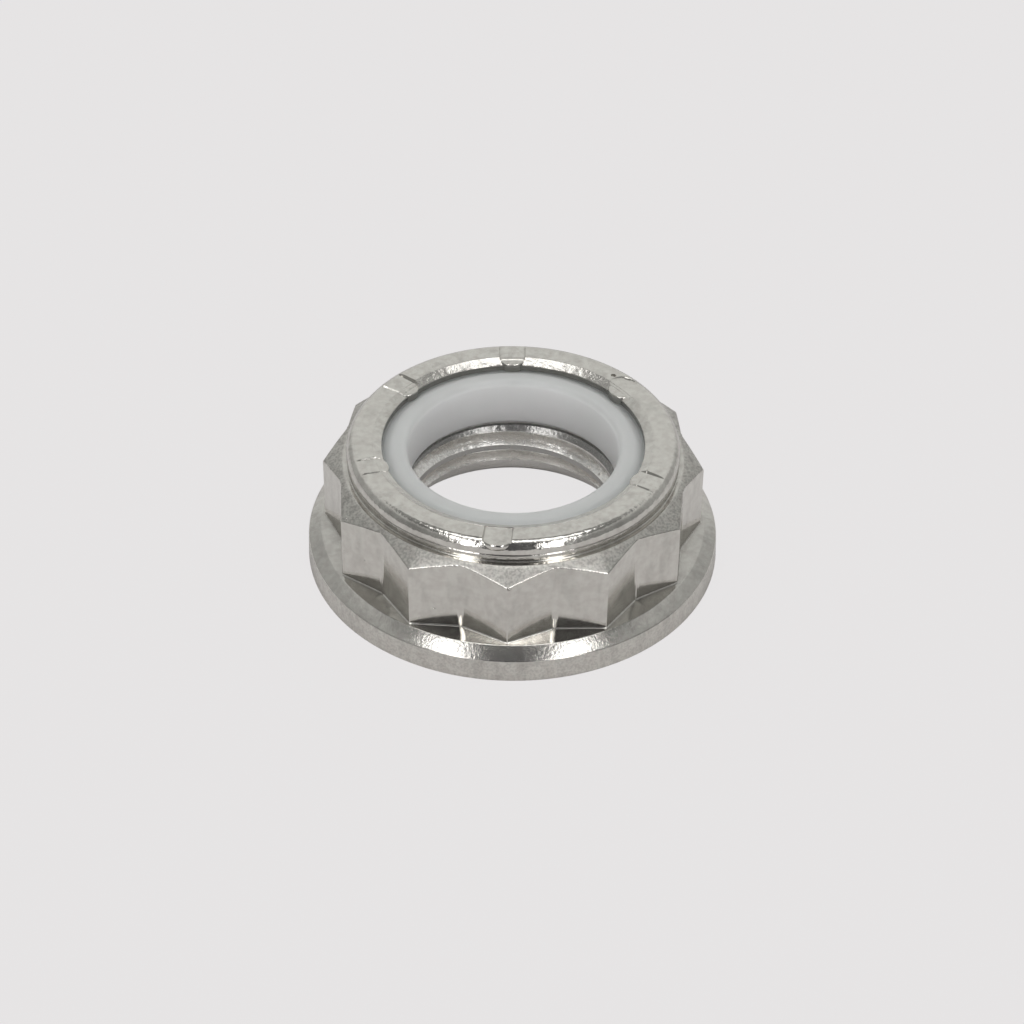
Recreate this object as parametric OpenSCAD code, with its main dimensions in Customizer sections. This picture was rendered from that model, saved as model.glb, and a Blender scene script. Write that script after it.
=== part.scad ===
// Twelve point flange lock nut, low profile, with a captive locking ring
// The thread axis is Z and the bearing face lies on z = 0. All lengths are in millimetres

/* [Thread] */
// Nominal thread diameter
thread_d = 12; // [11.8:0.1:12.2]
// Thread pitch
thread_pitch = 1.25; // [1:0.25:1.5]
// Diameter of the entry countersink where it ends at the edge break
entry_d = 12.5; // [12.3:0.1:12.9]
// Angle of the entry countersink from the axis
entry_angle = 35; // [30:1:42]
// Edge break at the mouth of the entry countersink
mouth_break = 0.35; // [0.2:0.05:0.5]
// Edge break of the thread core under the locking ring
upper_break = 0.25; // [0.1:0.05:0.5]

/* [Flange] */
// Outer diameter of the flange
flange_d = 21.4; // [21.2:0.1:24]
// Height of the rim
rim_h = 1.28; // [1:0.05:1.5]
// Draft of the rim over its height
rim_draft = 0.05; // [0:0.01:0.1]
// Edge break at the foot of the rim
rim_foot = 0.1; // [0.04:0.02:0.2]
// Width of the bevel above the rim
bevel_w = 0.68; // [0.5:0.02:0.7]
// Height of the bevel above the rim
bevel_h = 0.47; // [0.3:0.01:0.6]
// Rise of the pocket floors from the bevel to the roots of the walls
floor_rise = 0.08; // [0.02:0.02:0.16]

/* [Drive] */
// Wrench size across flats
across_flats = 17; // [16.6:0.1:17.1]
// Diameter across the roots between the points
root_d = 18; // [17.7:0.1:18.3]
// Radius of the fillet where the walls meet the pocket floors
foot_fillet = 0.12; // [0.06:0.01:0.12]
// Height of the top face of the points above the bearing face
drive_top = 5.75; // [5.4:0.05:6]
// Angle of the chamfer over the points
tip_chamfer = 30; // [20:1:35]

/* [Collar] */
// Overall height of the nut
nut_h = 7; // [6.9:0.05:7.6]
// Diameter of the collar wall
collar_d = 17; // [16.8:0.1:17.2]
// Radius of the fillet at the foot of the collar
collar_fillet = 0.14; // [0.08:0.02:0.2]
// How far the rolled bead stands proud of the collar wall
bead = 0.05; // [0.02:0.01:0.1]
// Radius of the rolled shoulder
shoulder_r = 0.55; // [0.4:0.05:0.6]
// Depth of the fine groove under the bead
groove_depth = 0.06; // [0.03:0.01:0.1]
// Height of the mouth of the fine groove
groove_h = 0.16; // [0.08:0.02:0.2]
// Diameter of the opening in the lip
lip_d = 13.46; // [13.2:0.1:14]
// Thickness of the lip over the locking ring
lip_t = 0.57; // [0.5:0.01:0.7]
// Edge break around the opening in the lip
lip_break = 0.08; // [0.04:0.02:0.12]

/* [Stakes] */
// Width of the punched stakes that hold the lip down
stake_w = 1.4; // [1:0.1:2]
// Depth of the stakes
stake_depth = 0.12; // [0.06:0.01:0.2]
// How far each stake pushes the lip inwards over the ring
stake_push = 0.14; // [0.06:0.02:0.2]

/* [Locking ring] */
// Outer diameter of the ring
ring_d = 14.8; // [14.5:0.1:15]
// Bore of the ring
ring_bore_d = 10.7; // [10.6:0.05:11]
// Height of the ring under the lip
ring_h = 2.69; // [2.4:0.01:2.8]
// Height of the crown that bulges up inside the lip
ring_crown = 0.1; // [0.04:0.02:0.3]
// Width of the slope from the lip up to the crown
crown_slope = 0.35; // [0.1:0.05:0.5]
// Radius of the rounding at the top of the bore
ring_round = 0.45; // [0.2:0.05:0.6]
// Chamfer at the bottom of the bore, outwards
ring_chamfer = 0.45; // [0.3:0.05:0.5]
// Clearance between the ring and its seat
seat_gap = 0.02; // [0.01:0.01:0.05]

/* [Hidden] */
points = 12;
steel = [0.74, 0.74, 0.71];
nylon = [0.80, 0.84, 0.84];
circle_fn = 144;
small_fn = 48;
foot_steps = 3;
// cutters reach this far past what they cut, and pieces this deep into what they stand on
over = 1;
bite = 0.05;

// Centres of the six stakes, punched by hand and so not evenly spaced
stake_angles = [-4, 65, 130, 182, 233, 289];

// the core of a metric inside thread is this many pitches smaller than its nominal diameter
core_factor = 1.0825;
minor_r = (thread_d - core_factor * thread_pitch) / 2;

flange_r = flange_d / 2;
bevel_r = flange_r - rim_draft - bevel_w;
bevel_top = rim_h + bevel_h;
floor_top = bevel_top + floor_rise;

tip_r = across_flats / 2 / cos(30);
root_r = root_d / 2;
half_pitch = 180 / points;
wall_len = sqrt(tip_r * tip_r + root_r * root_r - 2 * tip_r * root_r * cos(half_pitch));
wall_dist = tip_r * root_r * sin(half_pitch) / wall_len;

collar_r = collar_d / 2;
bead_r = collar_r + bead;
shoulder_z = nut_h - shoulder_r;
groove_z = shoulder_z - groove_h;
lip_r = lip_d / 2;
lip_z = nut_h - lip_t;

ring_r = ring_d / 2;
ring_bore_r = ring_bore_d / 2;
ring_top = lip_z - seat_gap;
ring_bottom = ring_top - ring_h;
seat_r = ring_r + seat_gap;
seat_z = ring_bottom - seat_gap;
crown_top = ring_top + ring_crown;
crown_foot_r = lip_r - stake_push - seat_gap;

entry_r = entry_d / 2;
entry_top = mouth_break + (entry_r - minor_r) / tan(entry_angle);

function polar(r, a) = [r * sin(a), -r * cos(a)];

// What fills an inside corner up to a fillet, or comes off an outside corner
module corner_web(r) {
    difference() {
        translate([-bite, -bite]) square(r + bite);
        translate([r, r]) circle(r = r, $fn = small_fn);
    }
}

// Twelve sharp points with straight walls down to the roots
module star_outline() {
    polygon([for (i = [0 : 2 * points - 1]) polar(i % 2 == 0 ? tip_r : root_r, i * half_pitch)]);
}

// Fillet where the walls stand on the flange, as short tapered courses of the same outline
module wall_feet() {
    grow = [for (k = [0 : foot_steps])
        foot_fillet - sqrt(foot_fillet * foot_fillet - pow(foot_fillet * (1 - k / foot_steps), 2))];
    course = foot_fillet / foot_steps;
    for (k = [0 : foot_steps - 1]) {
        low = 1 + grow[k] / wall_dist;
        high = 1 + grow[k + 1] / wall_dist;
        translate([0, 0, floor_top - floor_rise + k * course])
            linear_extrude(height = course, scale = high / low)
                scale([low, low]) star_outline();
    }
}

// Sub-parts of the nut body

module flange() {
    rotate_extrude($fn = circle_fn)
        polygon([
            [0, 0],
            [flange_r - rim_foot, 0],
            [flange_r, rim_foot],
            [flange_r - rim_draft, rim_h],
            [bevel_r, bevel_top],
            [root_r, floor_top],
            [0, floor_top]
        ]);
}

module drive() {
    intersection() {
        translate([0, 0, floor_top - over])
            linear_extrude(height = drive_top - floor_top + over) star_outline();
        rotate_extrude($fn = circle_fn)
            polygon([
                [0, 0],
                [tip_r + over, 0],
                [tip_r + over, drive_top - (tip_r + over - root_r) * tan(tip_chamfer)],
                [root_r, drive_top],
                [0, drive_top]
            ]);
    }
}

module collar() {
    rotate_extrude($fn = circle_fn) difference() {
        union() {
            translate([0, floor_top]) square([collar_r, groove_z - floor_top]);
            translate([0, groove_z]) square([bead_r, nut_h - groove_z]);
            translate([collar_r, drive_top]) corner_web(collar_fillet);
        }
        translate([bead_r, nut_h]) rotate([0, 0, 180]) corner_web(shoulder_r);
        polygon([
            [collar_r - groove_depth, groove_z],
            [bead_r + bite, groove_z - groove_h / 2],
            [bead_r + bite, groove_z + groove_h / 2]
        ]);
    }
}

// Everything that is cut around the axis: countersinks, thread core, seat of the ring and lip opening
module core() {
    rotate_extrude($fn = circle_fn)
        polygon([
            [0, -over],
            [entry_r + mouth_break + over, -over],
            [entry_r, mouth_break],
            [minor_r, entry_top],
            [minor_r, seat_z - upper_break],
            [minor_r + upper_break, seat_z],
            [seat_r, seat_z],
            [seat_r, lip_z],
            [lip_r, lip_z],
            [lip_r, nut_h - lip_break],
            [lip_r + lip_break + over, nut_h + over],
            [0, nut_h + over]
        ]);
}

// A flat-bottomed punch mark right across the lip
module stake_mark() {
    translate([-stake_w / 2, -bead_r - over, nut_h - stake_depth])
        cube([stake_w, bead_r - lip_r + 2 * over, over]);
}

// Metal that the punch has pushed inwards over the locking ring
module stake_tab() {
    intersection() {
        translate([-stake_w / 2, -lip_r - over / 2, lip_z])
            cube([stake_w, over, lip_t - stake_depth]);
        rotate_extrude($fn = circle_fn)
            translate([lip_r - stake_push, lip_z])
                square([2 * stake_push, lip_t]);
    }
}

module nut_body() {
    color(steel) {
        difference() {
            union() {
                flange();
                wall_feet();
                drive();
                collar();
            }
            core();
            for (a = stake_angles) rotate([0, 0, a]) stake_mark();
        }
        for (a = stake_angles) rotate([0, 0, a]) stake_tab();
    }
}

// Nylon ring under the lip, crowned where it bulges up inside the opening
module locking_ring() {
    color(nylon) rotate_extrude($fn = circle_fn) difference() {
        polygon([
            [ring_r, ring_bottom],
            [ring_r, ring_top],
            [crown_foot_r, ring_top],
            [crown_foot_r - crown_slope, crown_top],
            [ring_bore_r, crown_top],
            [ring_bore_r, ring_bottom + ring_chamfer],
            [ring_bore_r + ring_chamfer, ring_bottom]
        ]);
        translate([ring_bore_r, crown_top]) rotate([0, 0, -90]) corner_web(ring_round);
    }
}

nut_body();
locking_ring();
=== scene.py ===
import math

import bpy
from mathutils import Matrix, Vector


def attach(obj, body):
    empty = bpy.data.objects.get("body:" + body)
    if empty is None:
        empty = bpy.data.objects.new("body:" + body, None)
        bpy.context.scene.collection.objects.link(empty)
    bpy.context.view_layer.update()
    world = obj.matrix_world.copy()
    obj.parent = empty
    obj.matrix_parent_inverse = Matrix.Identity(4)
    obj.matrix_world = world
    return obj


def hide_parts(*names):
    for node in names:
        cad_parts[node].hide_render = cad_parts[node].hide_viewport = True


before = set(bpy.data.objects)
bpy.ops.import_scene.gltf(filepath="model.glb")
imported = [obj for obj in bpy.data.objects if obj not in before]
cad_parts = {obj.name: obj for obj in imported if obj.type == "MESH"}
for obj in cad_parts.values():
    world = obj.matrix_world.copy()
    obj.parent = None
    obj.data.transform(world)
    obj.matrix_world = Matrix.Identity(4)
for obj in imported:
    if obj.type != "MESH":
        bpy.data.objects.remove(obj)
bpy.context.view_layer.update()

mm = 0.001
turnSteps = 240          # facets round the axis, a multiple of the 24 walls of the drive
fullTurn = 2 * math.pi
mergeReach = 1e-6        # points closer than a thousandth of a millimetre are one
seamReach = 2e-7         # closer still where the drive has just joined the flange


def deselectAll():
    if bpy.context.object and bpy.context.object.mode != "OBJECT":
        bpy.ops.object.mode_set(mode="OBJECT")
    bpy.ops.object.select_all(action="DESELECT")


def makeActive(piece):
    deselectAll()
    piece.select_set(True)
    bpy.context.view_layer.objects.active = piece


def pickNothing(piece, kind):
    makeActive(piece)
    bpy.ops.object.mode_set(mode="EDIT")
    bpy.ops.mesh.select_mode(type=kind)
    bpy.ops.mesh.select_all(action="DESELECT")
    bpy.ops.object.mode_set(mode="OBJECT")


def pickVerts(piece, test):
    # leaves the piece in edit mode with the vertices picked that pass the test, which sees them in mm
    pickNothing(piece, "VERT")
    for v in piece.data.vertices:
        v.select = test(v.co / mm)
    bpy.ops.object.mode_set(mode="EDIT")


def pickEdges(piece, test):
    # the same for edges, whose two ends the test sees
    pickNothing(piece, "EDGE")
    points = [v.co / mm for v in piece.data.vertices]
    for e in piece.data.edges:
        e.select = test(points[e.vertices[0]], points[e.vertices[1]])
    bpy.ops.object.mode_set(mode="EDIT")


def report(stage, piece):
    # a closed mesh has two faces at each edge, so the edges that haven't are counted
    uses = {}
    for face in piece.data.polygons:
        for key in face.edge_keys:
            uses[key] = uses.get(key, 0) + 1
    openEdges = sum(1 for count in uses.values() if count != 2)
    print(stage, piece.name, len(piece.data.polygons), "faces,", openEdges, "open edges")


def azimuth(point):
    return math.degrees(math.atan2(point.x, -point.y)) % 360      # from the front, counter-clockwise


def radiusOf(point):
    return math.hypot(point.x, point.y)


def roundCorners(corners, arcSteps=5):
    # corners are (radius from axis, height) or the same with a rounding; gives the outline's points
    outline = []
    count = len(corners)
    for i, corner in enumerate(corners):
        here = Vector(corner[:2])
        rounding = corner[2] if len(corner) > 2 else 0
        if not rounding:
            outline.append(here)
            continue
        before = (Vector(corners[i - 1][:2]) - here).normalized()
        after = (Vector(corners[(i + 1) % count][:2]) - here).normalized()
        half = before.angle(after) / 2
        centre = here + (before + after).normalized() * rounding / math.sin(half)
        start = here + before * rounding / math.tan(half) - centre
        end = here + after * rounding / math.tan(half) - centre
        sweep = start.angle_signed(end)
        for k in range(arcSteps + 1):
            outline.append(centre + Matrix.Rotation(-sweep * k / arcSteps, 2) @ start)
    return outline


def drawOutline(name, outline, across):
    # one vertex is drawn along the closed outline; across is the direction of its first coordinate
    deselectAll()
    bpy.ops.mesh.primitive_plane_add(size=mm, location=(0, 0, 0))
    piece = bpy.context.object
    piece.name = name
    bpy.ops.object.mode_set(mode="EDIT")
    bpy.ops.mesh.select_mode(type="VERT")
    bpy.ops.mesh.select_all(action="SELECT")
    bpy.ops.mesh.merge(type="CENTER")
    here = outline[0]
    bpy.ops.transform.translate(value=(here.x * across[0] * mm, here.x * across[1] * mm, here.y * mm))
    for point in outline[1:] + outline[:1]:
        step = (point - here) * mm
        bpy.ops.mesh.extrude_region_move(
            TRANSFORM_OT_translate={"value": (step.x * across[0], step.x * across[1], step.y)})
        here = point
    bpy.ops.mesh.select_all(action="SELECT")
    bpy.ops.mesh.remove_doubles(threshold=mergeReach)
    bpy.ops.mesh.select_all(action="SELECT")
    return piece


def turnOutline(name, outline):
    piece = drawOutline(name, outline, (1, 0))
    bpy.ops.mesh.spin(steps=turnSteps, angle=fullTurn, center=(0, 0, 0), axis=(0, 0, 1))
    bpy.ops.mesh.select_all(action="SELECT")
    bpy.ops.mesh.remove_doubles(threshold=mergeReach)
    bpy.ops.mesh.normals_make_consistent(inside=False)
    bpy.ops.object.mode_set(mode="OBJECT")
    report("turned", piece)
    return piece


def combine(piece, tool, operation):
    stage = operation.lower() + " of " + tool.name + " and"
    makeActive(piece)
    bpy.ops.object.modifier_add(type="BOOLEAN")
    modifier = piece.modifiers[-1]
    modifier.operation = operation
    modifier.solver = "EXACT"
    modifier.object = tool
    bpy.ops.object.modifier_apply(modifier=modifier.name)
    bpy.data.objects.remove(tool)
    report(stage, piece)


def bevelPicked(size, segments, kind):
    bpy.ops.mesh.bevel(offset=size * mm, segments=segments, affect=kind, clamp_overlap=False)


def shiftPicked(x, y, z):
    bpy.ops.transform.translate(value=(x * mm, y * mm, z * mm))


def extrudePicked(x, y, z):
    bpy.ops.mesh.extrude_region_move(TRANSFORM_OT_translate={"value": (x * mm, y * mm, z * mm)})


def widenPicked(x, y):
    bpy.ops.transform.resize(value=(x, y, 1), center_override=(0, 0, 0))


def turnPicked(degrees, y=0):
    bpy.ops.transform.rotate(value=math.radians(degrees), orient_axis="Z", center_override=(0, y * mm, 0))


def placeRound(piece, degrees):
    piece.data.transform(Matrix.Rotation(math.radians(degrees), 4, "Z"))


drivePoints = 12
pointStep = 360 / drivePoints      # from one point to the next, in degrees

nutSizes = {
    "flangeRadius": 10.7,
    "rimHeight": 1.28,
    "rimTopRadius": 10.65,
    "rimFootRound": 0.1,
    "rimTopRound": 0.12,
    "bevelRadius": 9.97,
    "bevelTop": 1.75,
    "bevelRound": 0.15,
    "floorTop": 1.83,
    "tipRadius": 17 / 2 / math.cos(math.radians(30)),      # 17 mm across the flats
    "rootRadius": 9.0,
    "driveTop": 5.75,
    "chamferAngle": 30,
    "collarRadius": 8.5,
    "collarFootRound": 0.06,
    "beadRadius": 8.55,
    "grooveZ": 6.29,
    "grooveDepth": 0.06,
    "grooveHalf": 0.06,      # half the height of the groove's mouth
    "grooveEdgeRound": 0.02,
    "grooveRootRound": 0.015,
    "shoulderRound": 0.55,
    "height": 7.0,
    "lipRadius": 6.73,
    "lipUnder": 6.43,
    "seatRadius": 7.42,
    "seatZ": 3.70,
    "seatRound": 0.1,
    "seatBreak": 0.25,       # the ledge under the ring
    "boreEdgeRound": 0.03,
    "minorRadius": (12 - 1.0825 * 1.25) / 2,      # the core of an M12x1.25 thread
    "entryRadius": 6.25,
    "entryTop": 1.67,
    "entryRound": 0.04,
    "mouthBreak": 0.35,
    "mouthRound": 0.06,
    "footFillet": 0.075,
    "rootFillet": 0.19,      # how far the fillet reaches along each wall
    "tipRound": 0.035,
    "crestRound": 0.07,
    "ledgeRadius": 8.78,     # where the chamfer ends at the narrow ledge round the collar
    "ledgeRound": 0.25,
    "lipSlopeStart": 7.2,    # the lip falls inwards from here
    "lipSlope": 26,
    "lipRound": 0.06,
    "lipUnderRound": 0.05,
    "smoothAngle": 24,       # edges sharper than this stay sharp in the shading
}


def makeFlange(s):
    slope = (s["floorTop"] - s["bevelTop"]) / (s["bevelRadius"] - s["rootRadius"])
    inner = 3.0        # inside the bore, which is cut later
    under = 1          # the sloping floor runs on this far under the drive
    floorEnd = s["bevelTop"] + slope * (s["bevelRadius"] - s["rootRadius"] + under)
    return turnOutline("flange", roundCorners([
        (inner, 0),
        (s["flangeRadius"], 0, s["rimFootRound"]),
        (s["rimTopRadius"], s["rimHeight"], s["rimTopRound"]),
        (s["bevelRadius"], s["bevelTop"], s["bevelRound"]),
        (s["rootRadius"] - under, floorEnd),
        (inner, floorEnd),
    ]))


def makeStarPrism(s):
    low, tall = 0.9, 8           # it starts inside the flange and ends above the nut
    near = 0.1                   # how closely a tip or root is picked by its radius
    deselectAll()
    bpy.ops.mesh.primitive_circle_add(vertices=2 * drivePoints, radius=s["tipRadius"] * mm,
                                      fill_type="NGON", location=(0, 0, 0))
    star = bpy.context.object
    star.name = "starPrism"
    pickVerts(star, lambda p: abs(azimuth(p) % pointStep - pointStep / 2) < 1)
    pull = s["rootRadius"] / s["tipRadius"]
    widenPicked(pull, pull)

    # the roots are filleted and the tips broken in the outline, before it is extruded
    pickVerts(star, lambda p: radiusOf(p) < s["rootRadius"] + near)
    bevelPicked(s["rootFillet"], 5, "VERTICES")
    pickVerts(star, lambda p: radiusOf(p) > s["tipRadius"] - near)
    bevelPicked(s["tipRound"], 3, "VERTICES")
    bpy.ops.mesh.select_all(action="SELECT")
    shiftPicked(0, 0, low)
    extrudePicked(0, 0, tall)
    bpy.ops.mesh.select_all(action="SELECT")
    bpy.ops.mesh.normals_make_consistent(inside=False)
    bpy.ops.object.mode_set(mode="OBJECT")
    return star


def makeEnvelope(s):
    # everything that a lathe leaves above the flange: chamfer cone, ledge, collar, bead and shoulder
    inner, outer, low = 3.4, 12.0, 1.0
    fall = math.tan(math.radians(s["chamferAngle"]))
    ledgeTop = s["driveTop"] + (s["rootRadius"] - s["ledgeRadius"]) * fall
    return turnOutline("envelope", roundCorners([
        (inner, low),
        (outer, low),
        (outer, s["driveTop"] - (outer - s["rootRadius"]) * fall),
        (s["ledgeRadius"], ledgeTop, s["ledgeRound"]),
        (s["collarRadius"], ledgeTop, s["collarFootRound"]),
        (s["collarRadius"], s["grooveZ"] - s["grooveHalf"], s["grooveEdgeRound"]),
        (s["collarRadius"] - s["grooveDepth"], s["grooveZ"], s["grooveRootRound"]),
        (s["beadRadius"], s["grooveZ"] + s["grooveHalf"], s["grooveEdgeRound"]),
        (s["beadRadius"], s["height"], s["shoulderRound"]),
        (inner, s["height"]),
    ], 6))


def makeCore(s):
    # what is cut round the axis: mouth, countersink, bore, seat of the ring, and the lip's opening
    inner = 2.6
    over = 1           # how far it reaches past the nut at both ends
    rise = 1.8         # how far the lip's slope is carried on outwards
    slope = math.tan(math.radians(s["lipSlope"]))
    slopeFoot = s["height"] - (s["lipSlopeStart"] - s["lipRadius"]) * slope
    return turnOutline("core", roundCorners([
        (inner, -over),
        (s["entryRadius"] + s["mouthBreak"] + over, -over),
        (s["entryRadius"], s["mouthBreak"], s["mouthRound"]),
        (s["minorRadius"], s["entryTop"], s["entryRound"]),
        (s["minorRadius"], s["seatZ"] - s["seatBreak"], s["boreEdgeRound"]),
        (s["minorRadius"] + s["seatBreak"], s["seatZ"], s["boreEdgeRound"]),
        (s["seatRadius"], s["seatZ"], s["seatRound"]),
        (s["seatRadius"], s["lipUnder"], s["seatRound"]),
        (s["lipRadius"], s["lipUnder"], s["lipUnderRound"]),
        (s["lipRadius"], slopeFoot, s["lipRound"]),
        (s["lipRadius"] + rise, slopeFoot + rise * slope),
        (inner, s["height"] + over),
    ], 5))


def onWalls(p, s):
    # true where a point lies on one of the 24 upright walls of the drive
    spread = 0.014     # how far from the sharp wall a point may lie
    tip, root = s["tipRadius"], s["rootRadius"]
    half = math.radians(pointStep / 2)
    a = math.radians(azimuth(p) % pointStep)
    if a > half:
        a = 2 * half - a
    wall = tip * root * math.sin(half) / (tip * math.sin(a) + root * math.sin(half - a))
    return abs(radiusOf(p) - wall) < spread


def onFoot(p, s):
    low, high = s["bevelTop"] - 0.08, s["floorTop"] + 0.05      # the seam stays between these
    return onWalls(p, s) and low < p.z < high


def onCrest(p, s):
    fall = math.tan(math.radians(s["chamferAngle"]))
    cone = s["driveTop"] - (radiusOf(p) - s["rootRadius"]) * fall
    near = 0.006
    return onWalls(p, s) and abs(p.z - cone) < near


def makeNutBody(s):
    body = makeFlange(s)
    star = makeStarPrism(s)
    combine(star, makeEnvelope(s), "INTERSECT")
    combine(body, star, "UNION")
    body.name = "nutBody"
    makeActive(body)
    bpy.ops.object.mode_set(mode="EDIT")
    bpy.ops.mesh.select_all(action="SELECT")
    bpy.ops.mesh.remove_doubles(threshold=seamReach)
    bpy.ops.object.mode_set(mode="OBJECT")
    for test, size, segments in ((onFoot, "footFillet", 4), (onCrest, "crestRound", 3)):
        pickEdges(body, lambda a, b: test(a, s) and test(b, s))
        bevelPicked(s[size], segments, "EDGES")
        bpy.ops.object.mode_set(mode="OBJECT")
        report(size, body)
    combine(body, makeCore(s), "DIFFERENCE")
    return body


threadSizes = {
    "pitch": 1.25,
    "majorRadius": 6.0,
    "rootRound": 0.05,
    "flankAngle": 30,
    "mouthOver": 0.15,    # how far the groove's section reaches out of the bore's wall
    "turns": 7,
    "below": 3,           # turns from the groove's start up to the crest that the phase is for
    "stepsPerTurn": 96,
    "phase": 3.46,        # height of a crest's lower edge at the back
}


def cutThread(body, s, t):
    # a trapezoid groove swept along the helix, then taken out of the bore
    pitch = t["pitch"]
    land = pitch / 4
    halfFlat = pitch / 16
    slope = math.tan(math.radians(t["flankAngle"]))
    inner = s["minorRadius"] - t["mouthOver"]
    halfMouth = (pitch - land) / 2 + t["mouthOver"] * slope
    section = roundCorners([
        (inner, -halfMouth),
        (t["majorRadius"], -halfFlat, t["rootRound"]),
        (t["majorRadius"], halfFlat, t["rootRound"]),
        (inner, halfMouth),
    ], 3)
    # the groove's middle is half a groove below the crest's lower edge
    base = t["phase"] - (pitch - land) / 2 - t["below"] * pitch
    cutter = drawOutline("threadGroove", [Vector((c.x, c.y + base)) for c in section], (0, 1))
    bpy.ops.object.mode_set(mode="OBJECT")
    bpy.ops.object.modifier_add(type="SCREW")
    screw = cutter.modifiers[-1]
    screw.axis = "Z"
    screw.angle = fullTurn
    screw.screw_offset = pitch * mm
    screw.iterations = t["turns"]
    screw.steps = t["stepsPerTurn"]
    screw.render_steps = t["stepsPerTurn"]
    screw.use_smooth_shade = False
    bpy.ops.object.modifier_apply(modifier=screw.name)
    bpy.ops.object.mode_set(mode="EDIT")
    bpy.ops.mesh.select_mode(type="EDGE")
    bpy.ops.mesh.select_all(action="DESELECT")
    bpy.ops.mesh.select_non_manifold(extend=False)
    bpy.ops.mesh.fill(use_beauty=False)
    bpy.ops.mesh.select_all(action="SELECT")
    bpy.ops.mesh.normals_make_consistent(inside=False)
    bpy.ops.object.mode_set(mode="OBJECT")
    combine(body, cutter, "DIFFERENCE")


def finishMesh(piece, angle):
    makeActive(piece)
    bpy.ops.object.mode_set(mode="EDIT")
    bpy.ops.mesh.select_all(action="SELECT")
    bpy.ops.mesh.remove_doubles(threshold=mergeReach)
    bpy.ops.mesh.normals_make_consistent(inside=False)
    bpy.ops.object.mode_set(mode="OBJECT")
    bpy.ops.object.shade_smooth_by_angle(angle=math.radians(angle))
    # large faces stay flat to the eye and only the small ones between them turn
    bpy.ops.object.modifier_add(type="WEIGHTED_NORMAL")
    weighting = piece.modifiers[-1]
    weighting.keep_sharp = True
    bpy.ops.object.modifier_apply(modifier=weighting.name)


# each stake: azimuth, where the punch starts and ends, its width and depth at both ends, the groove along
# its sides, how far it has pushed the lip inwards, half its bulge over the shoulder, and its own turn
stakes = [
    {"at": -4, "inner": 7.12, "outer": 9.0, "width": 1.34, "outerWidth": 1.42, "depth": 0.05,
     "outerDepth": 0.10, "groove": 0.03, "push": 0, "bulge": 0.585, "skew": 0},
    {"at": 65, "inner": 6.3, "outer": 8.25, "width": 1.24, "outerWidth": 1.30, "depth": 0.13,
     "outerDepth": -0.02, "groove": 0.06, "push": 0.10, "bulge": 0, "skew": 8},
    {"at": 182, "inner": 6.3, "outer": 9.0, "width": 1.26, "outerWidth": 1.36, "depth": 0.08,
     "outerDepth": 0.04, "groove": 0.03, "push": 0.16, "bulge": 0, "skew": 0},
    {"at": 233, "inner": 6.3, "outer": 8.6, "width": 1.15, "outerWidth": 1.5, "depth": 0.127,
     "outerDepth": 0.01, "groove": 0.05, "push": 0.18, "bulge": 0, "skew": -4},
    {"at": 289.4, "inner": 6.3, "outer": 8.3, "width": 1.23, "outerWidth": 1.22, "depth": 0.13,
     "outerDepth": -0.02, "groove": 0.06, "push": 0.10, "bulge": 0, "skew": 0},
]
# one stroke went in askew and left an oval pad
ovalStake = {
    "at": 129.4,
    "radius": 7.25,
    "wide": 0.78,
    "deep": 0.80,
    "sink": 0.08,
    "above": 0.4,            # how far its punch stands out of the lip
    "flare": 2.4,            # and how much wider it is there
    "tabWidth": 1.3,
    "push": 0.2,
    "skew": -14,
}
tabSizes = {
    "widthShare": 0.98,      # a tab is a little narrower than its punch
    "root": 0.24,            # how far it reaches back into the lip
    "noseRound": 0.06,
    "underFloor": 0.012,     # how far it lies under the punch's floor
    "overUnder": 0.02,       # and over the lip's underside
}
bulgeSizes = {
    "radius": 8.0,
    "height": 6.74,
    "halfWidth": 0.80,
    "halfHeight": 0.4,
}

# small pits: azimuth, radius, height, half the width round the nut, half the other way, half the height
pits = [
    (138, 7.66, 7.0, 0.15, 0.13, 0.20), (0.6, 9.78, 5.21, 0.12, 0.10, 0.08),
    (133, 5.42, 2.42, 0.14, 0.09, 0.08), (124, 5.49, 2.43, 0.11, 0.10, 0.08),
    (-92, 8.52, 6.62, 0.06, 0.04, 0.06), (-59, 9.54, 5.44, 0.08, 0.07, 0.05),
    (-59, 9.76, 3.43, 0.05, 0.04, 0.08), (-52, 9.25, 3.45, 0.06, 0.03, 0.09),
    (-84, 9.37, 5.52, 0.07, 0.06, 0.05), (-23, 9.34, 2.86, 0.17, 0.035, 0.05),
    (12, 9.28, 3.6, 0.05, 0.03, 0.07), (165, 9.4, 5.5, 0.08, 0.06, 0.05),
    (222, 9.3, 4.1, 0.07, 0.05, 0.06), (108, 9.3, 4.4, 0.05, 0.05, 0.06),
    (-118, 10.2, 1.6, 0.08, 0.05, 0.05),
]


def addBall(name, at, radius, height, wide, deep, tall):
    # an oval ball, wide round the nut, deep towards its axis and tall
    deselectAll()
    bpy.ops.mesh.primitive_uv_sphere_add(segments=48, ring_count=24, radius=mm, location=(0, 0, 0))
    ball = bpy.context.object
    ball.name = name
    bpy.ops.object.mode_set(mode="EDIT")
    bpy.ops.mesh.select_all(action="SELECT")
    bpy.ops.transform.resize(value=(wide, deep, tall), center_override=(0, 0, 0))
    shiftPicked(0, -radius, height)
    bpy.ops.object.mode_set(mode="OBJECT")
    placeRound(ball, at)
    return ball


def addOval(name, thick, wide, deep):
    # an oval plate, left in edit mode with all of it picked
    deselectAll()
    bpy.ops.mesh.primitive_cylinder_add(vertices=64, radius=mm, depth=thick * mm, location=(0, 0, 0))
    plate = bpy.context.object
    plate.name = name
    bpy.ops.object.mode_set(mode="EDIT")
    bpy.ops.mesh.select_all(action="SELECT")
    widenPicked(wide, deep)
    return plate


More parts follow.
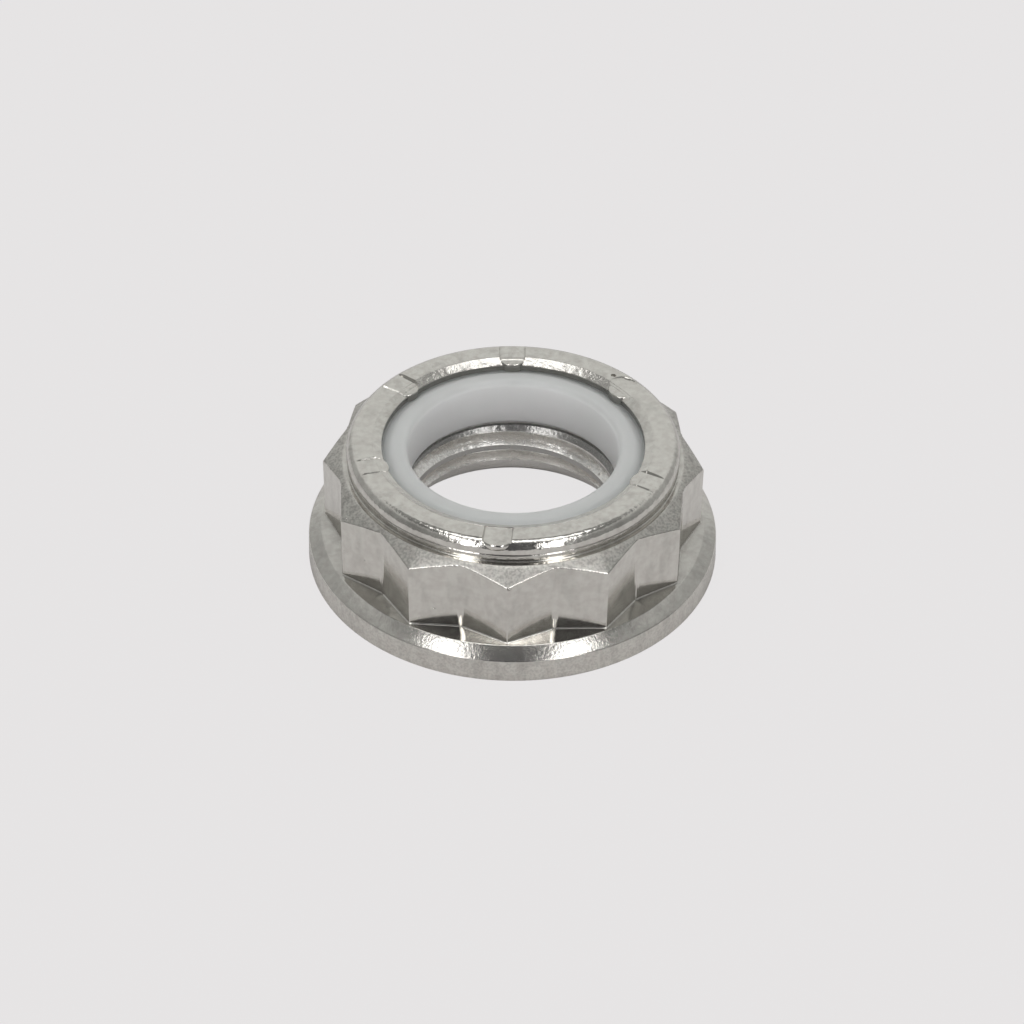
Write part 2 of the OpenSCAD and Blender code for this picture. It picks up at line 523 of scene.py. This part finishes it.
def placeOval(plate, at, radius, top, thick, skew):
    bpy.ops.mesh.select_all(action="SELECT")
    turnPicked(skew)
    shiftPicked(0, -radius, top - thick / 2)
    bpy.ops.object.mode_set(mode="OBJECT")
    placeRound(plate, at)


def makeTab(s, at, width, push, floorDepth):
    # metal that the punch has squeezed in over the ring, a plate with a round nose
    t = tabSizes
    top = s["height"] - floorDepth - t["underFloor"]
    thick = top - s["lipUnder"] - t["overUnder"]
    tab = addOval("stakeTab", thick, width / 2, t["root"] + push)
    pickEdges(tab, lambda a, b: min(a.z, b.z) > 0)
    bpy.ops.mesh.bevel(offset=t["noseRound"] * mm, segments=4, affect="EDGES", clamp_overlap=True)
    placeOval(tab, at, s["lipRadius"] + t["root"], top, thick, 0)
    return tab


def makePunch(s, stake):
    # the punch's section has a flat face and a sharper rim that digs in along both sides; each point of one
    # side is given by how far it lies outside the stake's width and how high above the face
    half = stake["width"] / 2
    side = [(0.16, 0.5), (0.03, 0), (-0.01, -stake["groove"]), (-0.10, 0)]
    section = ([Vector((-half - out, up)) for out, up in side]
               + [Vector((half + out, up)) for out, up in reversed(side)])
    punch = drawOutline("stakePunch", section, (1, 0))
    bpy.ops.mesh.edge_face_add()
    shiftPicked(0, -stake["inner"], s["height"] - stake["depth"])
    extrudePicked(0, -(stake["outer"] - stake["inner"]), stake["depth"] - stake["outerDepth"])
    widenPicked(stake["outerWidth"] / stake["width"], 1)
    bpy.ops.mesh.select_all(action="SELECT")
    bpy.ops.mesh.normals_make_consistent(inside=False)
    turnPicked(stake["skew"], -(stake["inner"] + stake["outer"]) / 2)
    bpy.ops.object.mode_set(mode="OBJECT")
    placeRound(punch, stake["at"])
    return punch


def makeOvalPunch(s, o):
    top, thick = s["height"] + o["above"], o["above"] + o["sink"]
    punch = addOval("ovalPunch", thick, o["wide"], o["deep"])
    pickVerts(punch, lambda p: p.z > 0)
    widenPicked(o["flare"], o["flare"])
    placeOval(punch, o["at"], o["radius"], top, thick, o["skew"])
    return punch


def stakeLip(body, s):
    # first the metal that the punches push out of their way, then the marks that they leave
    for stake in stakes:
        if stake["push"]:
            width = stake["width"] * tabSizes["widthShare"]
            combine(body, makeTab(s, stake["at"], width, stake["push"], stake["depth"]), "UNION")
        if stake["bulge"]:
            combine(body, addBall("stakeBulge", stake["at"], bulgeSizes["radius"], bulgeSizes["height"],
                                  bulgeSizes["halfWidth"], stake["bulge"], bulgeSizes["halfHeight"]), "UNION")
    o = ovalStake
    combine(body, makeTab(s, o["at"], o["tabWidth"], o["push"], o["sink"]), "UNION")
    for stake in stakes:
        combine(body, makePunch(s, stake), "DIFFERENCE")
    combine(body, makeOvalPunch(s, o), "DIFFERENCE")


def pitSurface(body):
    balls = [addBall("pits", *pit) for pit in pits]
    deselectAll()
    for ball in balls:
        ball.select_set(True)
    bpy.context.view_layer.objects.active = balls[0]
    bpy.ops.object.join()
    combine(body, balls[0], "DIFFERENCE")


ringSizes = {
    "outer": 7.4,
    "bore": 5.4,
    "top": 6.41,
    "bottom": 3.72,
    "edgeRound": 0.1,
    "chamferWidth": 0.42,    # at the bottom of the bore
    "chamferHeight": 0.38,
    "chamferFootRound": 0.08,
    "chamferTopRound": 0.12,
    "boreRound": 0.36,
    "crown": 0.25,
    "crownFoot": 6.62,
    "crownSlope": 0.42,
    "crownRound": 0.5,
    "crownFootRound": 0.06,
    "smoothAngle": 60,
}


def makeLockingRing(r):
    crownTop = r["top"] + r["crown"]
    return turnOutline("nylonRing", roundCorners([
        (r["outer"], r["bottom"], r["edgeRound"]),
        (r["bore"] + r["chamferWidth"], r["bottom"], r["chamferFootRound"]),
        (r["bore"], r["bottom"] + r["chamferHeight"], r["chamferTopRound"]),
        (r["bore"], crownTop, r["boreRound"]),
        (r["crownFoot"] - r["crownSlope"], crownTop, r["crownRound"]),
        (r["crownFoot"], r["top"], r["crownFootRound"]),
        (r["outer"], r["top"], r["edgeRound"]),
    ], 8))


metalLook = {
    "colour": (0.758, 0.742, 0.697),
    "dark": (0.672, 0.643, 0.607),
    "roughness": 0.14,
    "sandRoughness": 0.1,
    # these are added on their own surfaces
    "zoneRoughness": {"chamfer": 0.26, "rim": 0.16, "bevel": 0.05, "thread": 0.12, "lipEdge": 0.10},
    "fleck": 0.30,                 # how much darker the flecks of the sandy faces are
    "rimFleck": 0.5,               # the rim's share of them
    "scuff": 0.12,                 # and the scuffs
    # what is left of the brightness in single places; all but the chamfer's are painted shade
    "pocketShadeTone": 0.80,
    "chamferTone": 0.88,
    "gapShadeTone": 0.45,
    "crestShadeTone": 0.50,
    "underRingShadeTone": 0.36,
    # painted light: the tapped bore is coloured paler so that it looks lit
    "threadLitColour": (0.97, 0.95, 0.92),
    "cornerShade": 0.72,                  # painted shade: what is left of the colour deep in the corners
    "cornerShadeReach": 0.7,              # in mm
    "grain": 0.5,
    "plainGrain": 0.12,            # the share of the grain that all surfaces have
    "zoneGrain": {"crest": 1.0, "rim": 0.8, "bevel": 0.8},
    "grainHeight": 0.02,           # in mm
    "zoneWaves": {"thread": 1.6, "lipEdge": 1.3},
    "waveHeight": 0.03,            # in mm
    # how fine each pattern is and its detail, then where its light parts start and end
    "patterns": {"mottle": (2600, 4), "sand": (7500, 3), "fleck": (8000, 4), "scuff": (1500, 4),
                 "wave": (2300, 3)},
    "patternRoughness": 0.55,
    "fades": {"mottle": (0.3, 0.7), "fleck": (0.42, 0.62), "scuff": (0.45, 0.7), "cornerShade": (0.3, 0.9)},
    "scuffTurn": (0.9, 0.7, 0.3),
    "scuffStretch": (1, 1, 0.3),
}

# what sets the steel's zones off: radius and height in mm, and how far the surface faces up; each pair says
# where the zone has not begun and where it is complete
steelZones = {
    "chamfer": {"up": [(0.4, 0.8)], "height": [(5.0, 5.2), (6.1, 6.0)], "radius": [(8.7, 8.8)]},
    "crest": {"up": [(0.1, 0.3)], "height": [(5.0, 5.2)], "radius": [(8.8, 8.9)]},
    "rim": {"radius": [(10.5, 10.62)], "up": [(0.6, 0.2)]},
    "bevel": {"radius": [(9.9, 10.0)], "up": [(0.4, 0.7)]},
    # painted shade on the pocket floors between the drive's walls
    "pocket": {"up": [(0.85, 0.95)], "height": [(1.70, 1.75), (2.1, 2.0)]},
    "thread": {"radius": [(6.4, 6.3)]},
    # painted shade on the flat crests of the thread and on the ledge under the ring
    "threadCrestShade": {"radius": [(5.44, 5.38)], "up": [(0.45, 0.2)], "height": [(1.2, 1.4), (3.4, 3.3)]},
    "underRingShade": {"height": [(3.44, 3.47), (3.78, 3.74)], "radius": [(5.8, 5.7)], "up": [(0.35, 0.5)]},
    "shoulder": {"radius": [(7.9, 8.15), (8.62, 8.58)], "height": [(5.95, 6.05)]},
    # painted shade on the lip's inner wall, in the gap between lip and ring
    "gapShade": {"radius": [(6.3, 6.4), (6.82, 6.76)], "up": [(0.6, 0.3)], "height": [(6.3, 6.4)]},
    "lipEdge": {"radius": [(7.22, 7.18)], "height": [(6.6, 6.7)]},
}

nylonLook = {
    "colour": (0.935, 0.965, 0.95),
    "cloud": (400, 3, 0.5),       # how fine its clouds are, their detail and roughness
    "cloudTone": 0.93,
    "crown": (0.655, 0.672, 0.662),      # painted shade: darker where the surface faces up
    "topShadeUp": (0.1, 0.8),        # how far the surface faces up where that starts and ends
    "roughness": 0.4,
    "depth": (3.6, 3.8, 3.7),     # how far light travels inside it, in mm
}


def addNode(tree, kind, **inputs):
    node = tree.nodes.new(kind)
    for name, value in inputs.items():
        node.inputs[name].default_value = value
    return node


def fade(tree, value, start, end):
    # 0 before start, 1 after end, soft between
    node = tree.nodes.new("ShaderNodeMapRange")
    node.interpolation_type = "SMOOTHSTEP"
    node.inputs["From Min"].default_value = start
    node.inputs["From Max"].default_value = end
    tree.links.new(value, node.inputs["Value"])
    return node.outputs["Result"]


def combineValues(tree, operation, first, second, third=None):
    node = tree.nodes.new("ShaderNodeMath")
    node.operation = operation
    for socket, value in zip(node.inputs, (first, second, third)):
        if isinstance(value, (int, float)):
            socket.default_value = value
        elif value is not None:
            tree.links.new(value, socket)
    return node.outputs[0]


def mixColours(tree, share, first, second):
    # the first colour where the share is 0, the second where it is 1; either may be numbers
    node = tree.nodes.new("ShaderNodeMix")
    node.data_type = "RGBA"
    for name, colour in (("A", first), ("B", second)):
        if isinstance(colour, tuple):
            node.inputs[name].default_value = (*colour, 1)
        else:
            tree.links.new(colour, node.inputs[name])
    tree.links.new(share, node.inputs["Factor"])
    return node.outputs["Result"]


def toned(colour, tone):
    return tuple(tone * c for c in colour)


def splitAxes(tree, vector):
    node = tree.nodes.new("ShaderNodeSeparateXYZ")
    tree.links.new(vector, node.inputs[0])
    return node.outputs


def makeSteel(look):
    material = bpy.data.materials.new("satinSteel")
    material.use_nodes = True
    tree = material.node_tree
    shader = tree.nodes["Principled BSDF"]
    shader.inputs["Metallic"].default_value = 1.0
    link = tree.links.new

    def both(first, second):
        return combineValues(tree, "MULTIPLY", first, second)

    def add(share, amount, rest):
        return combineValues(tree, "MULTIPLY_ADD", share, amount, rest)

    def pattern(name, vector):
        scale, detail = look["patterns"][name]
        node = addNode(tree, "ShaderNodeTexNoise", Scale=scale, Detail=detail,
                       Roughness=look["patternRoughness"])
        link(vector, node.inputs["Vector"])
        return node.outputs["Fac"]

    where = tree.nodes.new("ShaderNodeTexCoord")
    spot = where.outputs["Object"]
    axes = splitAxes(tree, spot)
    flatSpot = tree.nodes.new("ShaderNodeCombineXYZ")
    link(axes["X"], flatSpot.inputs["X"])
    link(axes["Y"], flatSpot.inputs["Y"])
    length = tree.nodes.new("ShaderNodeVectorMath")
    length.operation = "LENGTH"
    link(flatSpot.outputs[0], length.inputs[0])
    measures = {
        "radius": (length.outputs["Value"], mm),
        "height": (axes["Z"], mm),
        "up": (splitAxes(tree, where.outputs["Normal"])["Z"], 1),
    }

    def makeZone(limits):
        mask = None
        for measure, pairs in limits.items():
            value, unit = measures[measure]
            for start, end in pairs:
                edge = fade(tree, value, start * unit, end * unit)
                mask = edge if mask is None else both(mask, edge)
        return mask

    def patches(name, value):
        return fade(tree, value, *look["fades"][name])

    zones = {name: makeZone(limits) for name, limits in steelZones.items()}
    sand = pattern("sand", spot)
    mottle = patches("mottle", pattern("mottle", spot))
    tint = mixColours(tree, mottle, look["dark"], look["colour"])

    # painted shade: ambient occlusion darkens the colour in the corners, but not in the tapped bore
    cavity = addNode(tree, "ShaderNodeAmbientOcclusion", Distance=look["cornerShadeReach"] * mm)
    cavity.samples = 6
    cavity.only_local = True
    wearAndShade = combineValues(tree, "MAXIMUM", patches("cornerShade", cavity.outputs["AO"]), zones["thread"])
    wearAndShade = add(wearAndShade, 1 - look["cornerShade"], look["cornerShade"])

    # flecks on the sandy faces, slanting scuffs on all
    sandy = add(zones["rim"], look["rimFleck"], zones["chamfer"])
    flecks = both(patches("fleck", pattern("fleck", spot)), sandy)
    slant = tree.nodes.new("ShaderNodeMapping")
    slant.inputs["Rotation"].default_value = look["scuffTurn"]
    slant.inputs["Scale"].default_value = look["scuffStretch"]
    link(spot, slant.inputs["Vector"])
    scuffs = patches("scuff", pattern("scuff", slant.outputs["Vector"]))
    # the flecks, the scuffs and the chamfer's tone are the steel's own; the pocket floors and the gap between
    # lip and ring get painted shade
    for mask, loss in ((flecks, look["fleck"]), (scuffs, look["scuff"]),
                       (zones["pocket"], 1 - look["pocketShadeTone"]), (zones["chamfer"], 1 - look["chamferTone"]),
                       (zones["gapShade"], 1 - look["gapShadeTone"])):
        wearAndShade = both(wearAndShade, add(mask, -loss, 1))

    # painted light and shade: the tapped bore is painted bright, the flat crests of its thread and the ledge
    # under the ring are painted dark
    colour = mixColours(tree, wearAndShade, (0, 0, 0), tint)
    for zone, tone in (("thread", 1), ("threadCrestShade", look["crestShadeTone"]),
                       ("underRingShade", look["underRingShadeTone"])):
        colour = mixColours(tree, zones[zone], colour, toned(look["threadLitColour"], tone))
    link(colour, shader.inputs["Base Color"])

    # the sand's own roughness lies evenly round the plain one
    rough = look["roughness"] - look["sandRoughness"] / 2
    for zone, amount in look["zoneRoughness"].items():
        rough = add(zones[zone], amount, rough)
    link(add(sand, look["sandRoughness"], rough), shader.inputs["Roughness"])

    grain = look["plainGrain"]
    for zone, amount in look["zoneGrain"].items():
        grain = add(zones[zone], amount, grain)
    bump = addNode(tree, "ShaderNodeBump", Strength=look["grain"], Distance=look["grainHeight"] * mm)
    link(both(sand, grain), bump.inputs["Height"])

    # the rolled shoulder, the lip's edge and the tapped bore are uneven
    uneven = zones["shoulder"]
    for zone, amount in look["zoneWaves"].items():
        uneven = add(zones[zone], amount, uneven)
    waves = addNode(tree, "ShaderNodeBump", Strength=1.0, Distance=look["waveHeight"] * mm)
    link(both(pattern("wave", spot), uneven), waves.inputs["Height"])
    link(bump.outputs["Normal"], waves.inputs["Normal"])
    link(waves.outputs["Normal"], shader.inputs["Normal"])
    return material


def makeNylon(look):
    material = bpy.data.materials.new("naturalNylon")
    material.use_nodes = True
    tree = material.node_tree
    shader = tree.nodes["Principled BSDF"]
    where = tree.nodes.new("ShaderNodeTexCoord")
    scale, detail, roughness = look["cloud"]
    cloud = addNode(tree, "ShaderNodeTexNoise", Scale=scale, Detail=detail, Roughness=roughness)
    tree.links.new(where.outputs["Object"], cloud.inputs["Vector"])
    tint = mixColours(tree, cloud.outputs["Fac"], toned(look["colour"], look["cloudTone"]), look["colour"])
    facingUp = splitAxes(tree, where.outputs["Normal"])["Z"]
    # painted shade on the surfaces that face up
    colour = mixColours(tree, fade(tree, facingUp, *look["topShadeUp"]), tint, look["crown"])
    tree.links.new(colour, shader.inputs["Base Color"])
    shader.inputs["Roughness"].default_value = look["roughness"]
    shader.inputs["Subsurface Weight"].default_value = 1.0
    shader.inputs["Subsurface Radius"].default_value = look["depth"]
    shader.inputs["Subsurface Scale"].default_value = 1 * mm
    return material


# the camera stands as it did for the photograph: angles in degrees, lengths in mm, the clips in metres
photoView = {
    "elevation": 38.82,
    "roll": 0.53,
    "turn": 1.28,
    "distance": 139.83,
    "slideX": 0.018,
    "slideY": -1.705,
    "lens": 93.25,
    "sensor": 36,
    "nearClip": 0.005,
    "farClip": 20,
}


def makeCamera(v):
    e, roll = math.radians(v["elevation"]), math.radians(v["roll"])
    right = Vector((1, 0, 0))
    ahead = Vector((0, math.cos(e), -math.sin(e)))
    up = Vector((0, math.sin(e), math.cos(e)))
    camRight = math.cos(roll) * right + math.sin(roll) * up
    camUp = -math.sin(roll) * right + math.cos(roll) * up
    place = -ahead * v["distance"] - camRight * v["slideX"] - camUp * v["slideY"]
    axes = Matrix((camRight, camUp, -ahead)).transposed().to_4x4()
    data = bpy.data.cameras.new("photoCamera")
    data.lens = v["lens"]
    data.sensor_width = v["sensor"]
    data.clip_start = v["nearClip"]
    data.clip_end = v["farClip"]
    camera = bpy.data.objects.new("photoCamera", data)
    bpy.context.scene.collection.objects.link(camera)
    turn = Matrix.Rotation(math.radians(v["turn"]), 4, "Z")
    camera.matrix_world = turn @ Matrix.Translation(place * mm) @ axes
    bpy.context.scene.camera = camera


stageLook = {
    "floorSize": 2.4,
    "floor": (0.80, 0.785, 0.787),
    "floorShare": 0.96,       # how much of the floor's look is its own colour, the rest is lit and shaded
    "room": (0.93, 0.94, 0.92),
    "roomStrength": 0.72,
    # pale walls, a darker gap above them and a pale ceiling: sine of the elevation, share of the brightness
    "roomBands": [(0.0, 1.0), (0.77, 1.0), (0.81, 0.34), (0.92, 0.34), (0.965, 1.0), (1.0, 1.0)],
    # the room is darker in front, between these two shares of the way back, down to the third
    "roomFront": (-0.3, 0.45, 0.62),
    # and darker low down at both sides, between these shares of the way out and of the way up
    "roomSides": {"out": (0.45, 0.7), "up": (0.8, 0.55), "left": 0.6},
    "curtain": (0.13, 0.13, 0.135),
    # the curtain's bends: distance in front, height, half its width
    "curtainBends": [(0.42, 0.0, 0.13), (0.35, 0.33, 0.14), (0.12, 0.47, 0.11)],
    # softboxes from one end of their middle line to the other, in metres
    "lamps": [
        {"name": "rightLowBox", "from": (0.19, -0.39, 0.06), "to": (0.19, -0.33, 0.31),
         "wide": 0.075, "glow": 2.8},
        {"name": "rightHighBox", "from": (0.175, -0.33, 0.31), "to": (0.185, -0.12, 0.46),
         "wide": 0.085, "glow": 3.0},
        {"name": "leftLowBox", "from": (-0.19, -0.39, 0.06), "to": (-0.19, -0.33, 0.31),
         "wide": 0.075, "glow": 2.8},
        {"name": "leftHighBox", "from": (-0.175, -0.33, 0.31), "to": (-0.185, -0.12, 0.46),
         "wide": 0.085, "glow": 3.0},
        {"name": "overheadBox", "from": (-0.16, 0.035, 0.42), "to": (0.16, 0.035, 0.42),
         "wide": 0.12, "glow": 1.5},
    ],
}


def makeFloor(look):
    # the camera sees mostly the floor's own colour, and the object's shadow on it
    deselectAll()
    bpy.ops.mesh.primitive_plane_add(size=look["floorSize"], location=(0, 0, 0))
    floor = bpy.context.object
    floor.name = "floor"
    material = bpy.data.materials.new("paleFloor")
    material.use_nodes = True
    tree = material.node_tree
    link = tree.links.new
    shader = tree.nodes["Principled BSDF"]
    shader.inputs["Base Color"].default_value = (*look["floor"], 1)
    shader.inputs["Roughness"].default_value = 0.9
    glow = tree.nodes.new("ShaderNodeEmission")
    glow.inputs["Color"].default_value = (*look["floor"], 1)
    path = tree.nodes.new("ShaderNodeLightPath")
    mix = tree.nodes.new("ShaderNodeMixShader")
    share = combineValues(tree, "MULTIPLY", path.outputs["Is Camera Ray"], look["floorShare"])
    link(share, mix.inputs["Fac"])
    link(shader.outputs["BSDF"], mix.inputs[1])
    link(glow.outputs["Emission"], mix.inputs[2])
    link(mix.outputs["Shader"], tree.nodes["Material Output"].inputs["Surface"])
    floor.data.materials.append(material)


def makeCurtain(look):
    # the dark side of the room behind the camera, seen only in the metal
    bends = look["curtainBends"]
    for i, ((nearOff, nearZ, nearHalf), (farOff, farZ, farHalf)) in enumerate(zip(bends, bends[1:])):
        corners = [(-nearHalf, -nearOff, nearZ), (nearHalf, -nearOff, nearZ),
                   (-farHalf, -farOff, farZ), (farHalf, -farOff, farZ)]
        makeCard("curtain%d" % i, corners, look["curtain"])


def makeCard(name, corners, colour):
    # a plain dark sheet of the studio, drawn from its four corners
    deselectAll()
    bpy.ops.mesh.primitive_plane_add(size=1, location=(0, 0, 0))
    card = bpy.context.object
    card.name = name
    for vertex, corner in zip(card.data.vertices, corners):
        vertex.co = corner
    material = bpy.data.materials.new(name)
    material.use_nodes = True
    shader = material.node_tree.nodes["Principled BSDF"]
    shader.inputs["Base Color"].default_value = (*colour, 1)
    shader.inputs["Roughness"].default_value = 1
    shader.inputs["Specular IOR Level"].default_value = 0
    card.data.materials.append(material)


def makeRoom(look):
    world = bpy.data.worlds.new("softRoom")
    bpy.context.scene.world = world
    world.use_nodes = True
    tree = world.node_tree
    sky = tree.nodes["Background"]
    sky.inputs["Strength"].default_value = look["roomStrength"]
    way = splitAxes(tree, tree.nodes.new("ShaderNodeTexCoord").outputs["Generated"])
    bands = tree.nodes.new("ShaderNodeValToRGB")
    tree.links.new(way["Z"], bands.inputs["Fac"])
    for place, share in look["roomBands"][1:-1]:
        bands.color_ramp.elements.new(place)
    for element, (place, share) in zip(bands.color_ramp.elements, look["roomBands"]):
        element.position = place
        element.color = (*toned(look["room"], share), 1)

    start, end, left = look["roomFront"]
    bright = combineValues(tree, "MULTIPLY_ADD", fade(tree, way["Y"], start, end), 1 - left, left)
    sides = look["roomSides"]
    aside = combineValues(tree, "MULTIPLY",
                          fade(tree, combineValues(tree, "ABSOLUTE", way["X"], 0), *sides["out"]),
                          fade(tree, way["Z"], *sides["up"]))
    bright = combineValues(tree, "MULTIPLY", bright,
                           combineValues(tree, "MULTIPLY_ADD", aside, sides["left"] - 1, 1))
    tree.links.new(mixColours(tree, bright, (0, 0, 0), bands.outputs["Color"]), sky.inputs["Color"])


def addSoftbox(lamp):
    start, end = Vector(lamp["from"]), Vector(lamp["to"])
    data = bpy.data.lights.new(lamp["name"], "AREA")
    data.shape = "RECTANGLE"
    data.size, data.size_y = lamp["wide"], (end - start).length
    data.energy = 4 * lamp["glow"] * data.size * data.size_y      # keeps the box equally bright at any size
    box = bpy.data.objects.new(lamp["name"], data)
    bpy.context.scene.collection.objects.link(box)
    middle = (start + end) / 2
    along = (end - start).normalized()
    back = (middle - along * middle.dot(along)).normalized()      # a lamp shines along its own -Z
    turn = Matrix((along.cross(back), along, back)).transposed().to_4x4()
    box.matrix_world = Matrix.Translation(middle) @ turn


bpy.context.scene.view_settings.view_transform = "Standard"
makeCamera(photoView)
makeFloor(stageLook)
makeCurtain(stageLook)
makeRoom(stageLook)
for lamp in stageLook["lamps"]:
    addSoftbox(lamp)
print("stage ready")

steel = makeSteel(metalLook)
nylon = makeNylon(nylonLook)

body = makeNutBody(nutSizes)
cutThread(body, nutSizes, threadSizes)
stakeLip(body, nutSizes)
pitSurface(body)
finishMesh(body, nutSizes["smoothAngle"])
body.data.materials.clear()
body.data.materials.append(steel)
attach(body, "root")
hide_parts("nut_body")
print("nut body done", len(body.data.polygons), "faces")

ring = makeLockingRing(ringSizes)
finishMesh(ring, ringSizes["smoothAngle"])
ring.data.materials.clear()
ring.data.materials.append(nylon)
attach(ring, "root")
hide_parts("locking_ring")
print("locking ring done")

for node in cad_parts.values():
    node.data.materials.clear()
    node.data.materials.append(nylon if node.name == "locking_ring" else steel)
